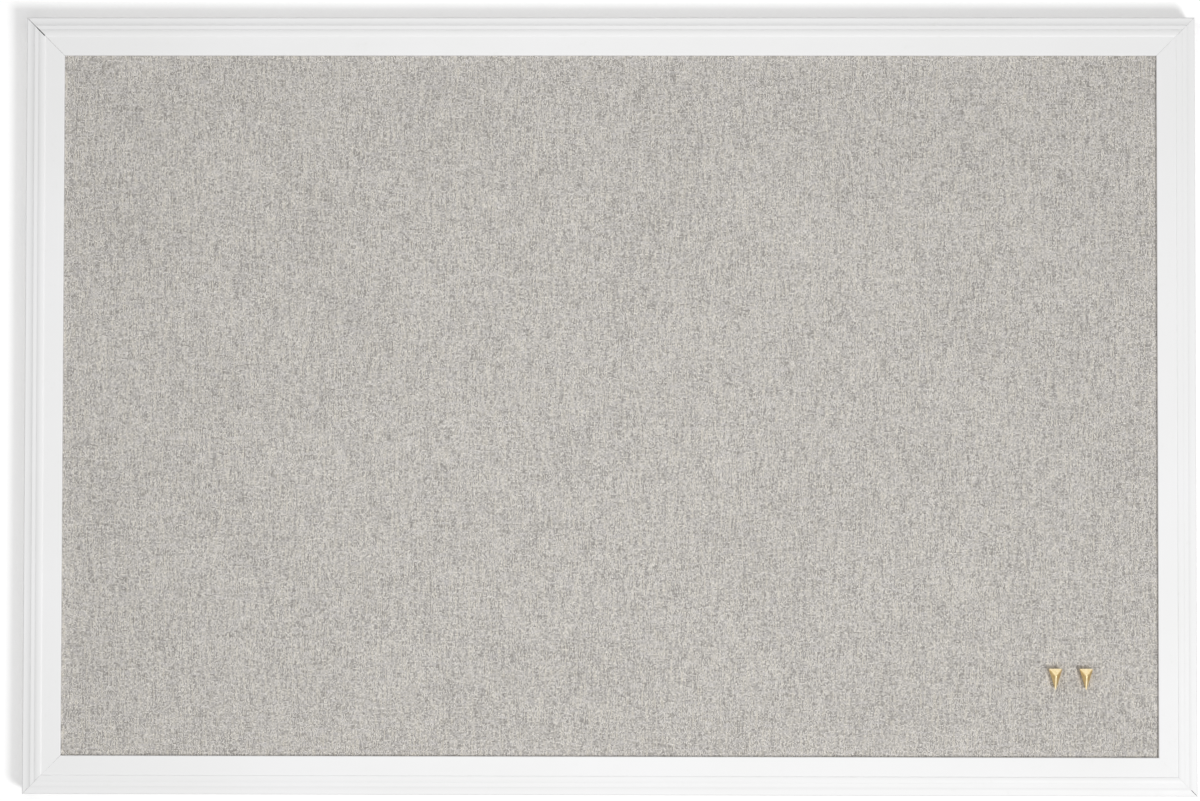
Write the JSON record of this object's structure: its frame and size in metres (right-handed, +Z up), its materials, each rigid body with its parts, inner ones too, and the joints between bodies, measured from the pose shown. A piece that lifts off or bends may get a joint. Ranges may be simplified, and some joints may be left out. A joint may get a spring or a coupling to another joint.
{
  "type": "bulletin board",
  "caption": "Wall bulletin board: grey linen over a fibre core in a white mitred moulding, with ring hangers, wall bumpers and brass triangular push pins.",
  "frame": {"origin": "on the wall plane, behind the middle of the board: the plane of the bumpers' rear faces", "axes": "+X to the right seen from the front, +Z up, +Y from the board towards the wall"},
  "size_m": [0.762, 0.0299, 0.506],
  "materials": {
    "white_frame": "wood moulding with a smooth satin white coat; raw on the back",
    "linen": "plain-woven grey linen with slubs, matte",
    "fibre_board": "soft pressed wood fibre, matte",
    "hardboard": "tempered hardboard, smooth and slightly mottled",
    "zinc_steel": "bright zinc-plated steel, satin",
    "bright_steel": "plain steel wire and sheet, satin",
    "satin_brass": "satin brass with crisp facets",
    "rubber": "matte soft rubber"
  },
  "bodies": {
    "board": {"frame_rail_top": "white_frame", "frame_rail_right": "white_frame", "frame_rail_bottom": "white_frame", "frame_rail_left": "white_frame", "linen_cover": "linen", "fibre_core": "fibre_board", "backing_board": "hardboard", "steel_point_top_1": "bright_steel", "steel_point_top_2": "bright_steel", "steel_point_top_3": "bright_steel", "steel_point_top_4": "bright_steel", "steel_point_top_5": "bright_steel", "steel_point_right_1": "bright_steel", "steel_point_right_2": "bright_steel", "steel_point_right_3": "bright_steel", "steel_point_bottom_1": "bright_steel", "steel_point_bottom_2": "bright_steel", "steel_point_bottom_3": "bright_steel", "steel_point_bottom_4": "bright_steel", "steel_point_bottom_5": "bright_steel", "steel_point_left_1": "bright_steel", "steel_point_left_2": "bright_steel", "steel_point_left_3": "bright_steel", "linen_staple_top_1": "bright_steel", "linen_staple_top_2": "bright_steel", "linen_staple_top_3": "bright_steel", "linen_staple_top_4": "bright_steel", "linen_staple_top_5": "bright_steel", "linen_staple_right_1": "bright_steel", "linen_staple_right_2": "bright_steel", "linen_staple_right_3": "bright_steel", "linen_staple_bottom_1": "bright_steel", "linen_staple_bottom_2": "bright_steel", "linen_staple_bottom_3": "bright_steel", "linen_staple_bottom_4": "bright_steel", "linen_staple_bottom_5": "bright_steel", "linen_staple_left_1": "bright_steel", "linen_staple_left_2": "bright_steel", "linen_staple_left_3": "bright_steel", "v_nail_upper_right_1": "bright_steel", "v_nail_upper_right_2": "bright_steel", "v_nail_lower_right_1": "bright_steel", "v_nail_lower_right_2": "bright_steel", "v_nail_lower_left_1": "bright_steel", "v_nail_lower_left_2": "bright_steel", "v_nail_upper_left_1": "bright_steel", "v_nail_upper_left_2": "bright_steel", "hanger_strap_left": "zinc_steel", "hanger_screw_left": "zinc_steel", "wall_bumper_left": "rubber", "hanger_strap_right": "zinc_steel", "hanger_screw_right": "zinc_steel", "wall_bumper_right": "rubber"},
    "ring_left": {"hanger_ring_left": "zinc_steel"},
    "pin_left": {"pin_head_left": "satin_brass", "pin_needle_left": "bright_steel"},
    "ring_right": {"hanger_ring_right": "zinc_steel"},
    "pin_right": {"pin_head_right": "satin_brass", "pin_needle_right": "bright_steel"}
  },
  "joints": [
    {"name": "pin_left_pull", "type": "slide", "parent": "board", "child": "pin_left", "axis": [0, -1, 0], "range_m": [0, 0.03]},
    {"name": "pin_right_pull", "type": "slide", "parent": "board", "child": "pin_right", "axis": [0, -1, 0], "range_m": [0, 0.03]},
    {"name": "ring_left_swing", "type": "hinge", "parent": "board", "child": "ring_left", "pos_m": [-0.3715, -0.00235, 0.126], "axis": [1, 0, 0], "range_deg": [-4, 184]},
    {"name": "ring_right_swing", "type": "hinge", "parent": "board", "child": "ring_right", "pos_m": [0.3715, -0.00235, 0.126], "axis": [1, 0, 0], "range_deg": [-4, 184]}
  ]
}
